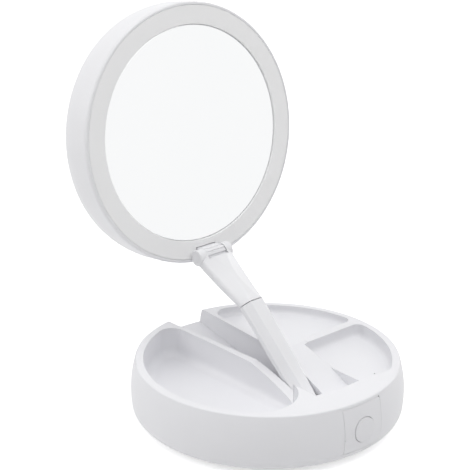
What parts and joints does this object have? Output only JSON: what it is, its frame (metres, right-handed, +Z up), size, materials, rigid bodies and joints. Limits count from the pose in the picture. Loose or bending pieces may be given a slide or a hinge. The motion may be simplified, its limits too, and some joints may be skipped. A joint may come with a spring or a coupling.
{
  "type": "lighted folding makeup mirror",
  "caption": "Round makeup mirror with a light ring on a swivelling two-piece arm that folds flat into a round tray base with a front push button.",
  "frame": {"origin": "on the table, under the middle of the whole mirror as it stands; the axis of the round base is 10 mm in front of it", "axes": "+Z up, +Y from the front of the base to its back, so the button faces -Y; +X to the right seen from the front"},
  "size_m": [0.1718, 0.1926, 0.2485],
  "materials": {
    "white_plastic": "white moulded plastic, satin gloss",
    "inner_plastic": "white moulded plastic, fine grain",
    "button_plastic": "white moulded plastic, satin",
    "bracket_plastic": "white moulded plastic, ribbed",
    "light_diffuser": "milky light diffuser",
    "mirror_glass": "silvered glass",
    "steel": "plated steel",
    "circuit_board": "green solder mask",
    "led_white": "white chip",
    "foot_rubber": "matt rubber",
    "cell_jacket": "plain printed sleeve",
    "contact_brass": "sheet contact",
    "switch_black": "black moulding",
    "washer_nylon": "nylon"
  },
  "bodies": {
    "base": {"tray_casing": "white_plastic", "bottom_cover": "inner_plastic", "rubber_feet": "foot_rubber", "cover_screws": "steel", "battery_cells": "cell_jacket", "front_contacts": "contact_brass", "rear_contacts": "contact_brass", "door_pin": "steel", "switch_panel": "white_plastic", "push_switch": "switch_black", "control_board": "circuit_board", "board_screws": "steel", "pivot_pin": "steel", "pivot_caps": "inner_plastic", "cap_screws": "steel"},
    "button": {"power_button": "button_plastic", "switch_plunger": "switch_black"},
    "door": {"battery_door": "inner_plastic"},
    "lower_arm": {"lower_arm_shell": "white_plastic", "lower_arm_cover": "inner_plastic", "lower_arm_screws": "steel", "pivot_washers": "washer_nylon", "swivel_bush": "washer_nylon"},
    "upper_arm": {"upper_arm_shell": "white_plastic", "upper_arm_cover": "inner_plastic", "upper_arm_screws": "steel", "swivel_spindle": "steel", "swivel_spring": "steel", "swivel_clip": "steel", "hinge_caps": "white_plastic", "hinge_washers": "washer_nylon"},
    "hinge": {"hinge_pin": "steel"},
    "head": {"head_housing": "white_plastic", "front_light_ring": "light_diffuser", "front_mirror": "mirror_glass", "mirror_carrier": "inner_plastic", "led_board": "circuit_board", "led_chips": "led_white", "led_board_screws": "steel", "hinge_bracket": "bracket_plastic", "bracket_screws": "steel", "rear_mirror": "mirror_glass", "rear_mirror_seat": "inner_plastic", "rear_bezel": "white_plastic"}
  },
  "joints": [
    {"name": "arm_fold", "type": "hinge", "parent": "base", "child": "lower_arm", "pos_m": [0, -0.05, 0.0175], "axis": [1, 0, 0], "range_deg": [-30.34, 0]},
    {"name": "arm_swivel", "type": "hinge", "parent": "lower_arm", "child": "upper_arm", "pos_m": [0, 0.005, 0.06879], "axis": [0, 0.7314, 0.682], "range_deg": [0, 180]},
    {"name": "head_fold", "type": "hinge", "parent": "upper_arm", "child": "hinge", "pos_m": [0, 0.04304, 0.09129], "axis": [-1, 0, 0], "range_deg": [-113.83, 0]},
    {"name": "head_tilt", "type": "hinge", "parent": "hinge", "child": "head", "pos_m": [0, 0.04304, 0.09129], "axis": [-1, 0, 0], "range_deg": [-15, 35]},
    {"name": "power_press", "type": "slide", "parent": "base", "child": "button", "axis": [0, 1, 0], "range_m": [0, 0.0012], "stiffness_N_per_m": 300, "springref_m": -0.001},
    {"name": "battery_door_open", "type": "hinge", "parent": "base", "child": "door", "pos_m": [0.0574, -0.01, 0.0043], "axis": [0, -1, 0], "range_deg": [0, 95]}
  ],
  "couplings": [
    {"joint": "arm_fold", "follows": "head_fold", "ratio": 0.26646}
  ]
}
